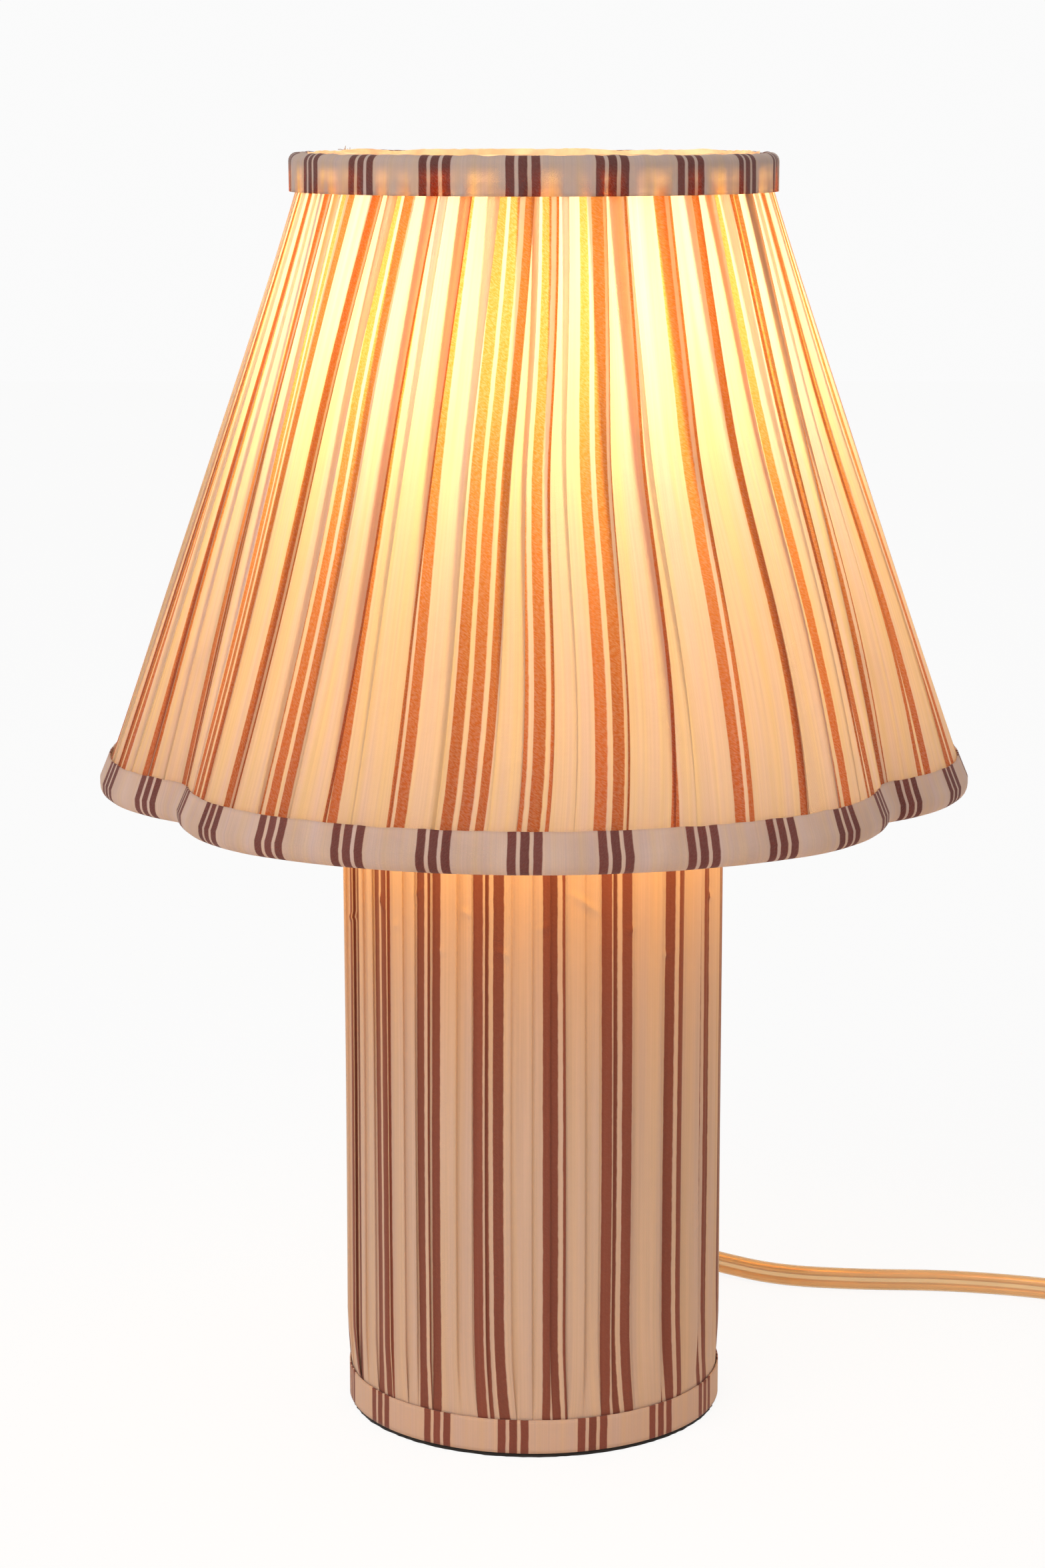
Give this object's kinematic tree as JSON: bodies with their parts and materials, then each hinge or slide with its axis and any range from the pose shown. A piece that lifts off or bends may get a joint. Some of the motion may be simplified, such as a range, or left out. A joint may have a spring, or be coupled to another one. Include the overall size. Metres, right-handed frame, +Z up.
{
  "type": "table lamp",
  "caption": "Table lamp with a cloth-wrapped round column, a pleated scalloped empire shade on a wire frame, a screw lampholder with its bulb, and a lead with a cord switch and a plug.",
  "frame": {"origin": "On the column's axis, on the surface that the lamp stands on.", "axes": "+Z is up along the column. The front, with the middle of a lobe, faces -Y. The lead leaves along +Y."},
  "size_m": [0.4051, 0.2459, 0.3659],
  "materials": {
    "felt": "matt felt",
    "ballast": "raw",
    "column_board": "matt",
    "cap_wood": "sanded",
    "striped_cloth": "woven, with groups of red-brown stripes",
    "clear_lead": "clear over copper",
    "clear_plastic": "smooth",
    "rocker_plastic": "smooth",
    "tie_plastic": "matt",
    "steel": "zinc plated",
    "holder_plastic": "satin",
    "brass": "bright",
    "bulb_metal": "bright",
    "bulb_black": "glossy",
    "bulb_white": "satin",
    "bulb_opal": "opal, lit",
    "frame_wire": "powder coated"
  },
  "bodies": {
    "lamp": {"base_pad": "felt", "base_weight": "ballast", "column_tube": "column_board", "column_cap": "cap_wood", "column_cover": "striped_cloth", "column_trim": "striped_cloth", "cord_lead": "clear_lead", "cord_coil": "clear_lead", "cord_link": "clear_lead", "cord_tail": "clear_lead", "inner_flex": "clear_lead", "cord_relief": "clear_plastic", "switch_base": "clear_plastic", "switch_cover": "clear_plastic", "plug_body": "clear_plastic", "coil_tie": "tie_plastic", "lamp_nipple": "steel", "nipple_washer_lower": "steel", "nipple_washer_upper": "steel", "nipple_nut_lower": "steel", "nipple_nut_upper": "steel", "rocker_pin": "steel", "switch_screws": "steel", "holder_skirt": "holder_plastic", "holder_shell": "holder_plastic", "holder_insert": "holder_plastic", "holder_screw_shell": "brass", "holder_contact": "brass", "switch_terminals": "brass", "plug_pin_left": "brass", "plug_pin_right": "brass"},
    "shade": {"shade_bottom_ring": "frame_wire", "shade_top_ring": "frame_wire", "fitter_ring": "frame_wire", "shade_strut_1": "frame_wire", "shade_strut_2": "frame_wire", "shade_strut_3": "frame_wire", "fitter_arm_1": "frame_wire", "fitter_arm_2": "frame_wire", "fitter_arm_3": "frame_wire", "shade_cover": "striped_cloth", "shade_top_trim": "striped_cloth", "shade_bottom_trim": "striped_cloth"},
    "clamp": {"shade_clamp_ring": "holder_plastic"},
    "bulb": {"bulb_tip": "bulb_metal", "bulb_insulator": "bulb_black", "bulb_cap": "bulb_metal", "bulb_housing": "bulb_white", "bulb_globe": "bulb_opal"},
    "rocker": {"switch_rocker": "rocker_plastic"}
  },
  "joints": [
    {"name": "shade_swivel", "type": "hinge", "parent": "lamp", "child": "shade", "pos_m": [0, 0, 0.2352], "axis": [0, 0, 1], "continuous": true},
    {"name": "clamp_turn", "type": "hinge", "parent": "lamp", "child": "clamp", "pos_m": [0, 0, 0.24], "axis": [0, 0, 1], "continuous": true},
    {"name": "bulb_removal", "type": "slide", "parent": "lamp", "child": "bulb", "axis": [0, 0, 1], "range_m": [0, 0.022]},
    {"name": "rocker_tip", "type": "hinge", "parent": "lamp", "child": "rocker", "pos_m": [0.195, 0, 0.013], "axis": [1, 0, 0], "range_deg": [-16, 0]}
  ]
}
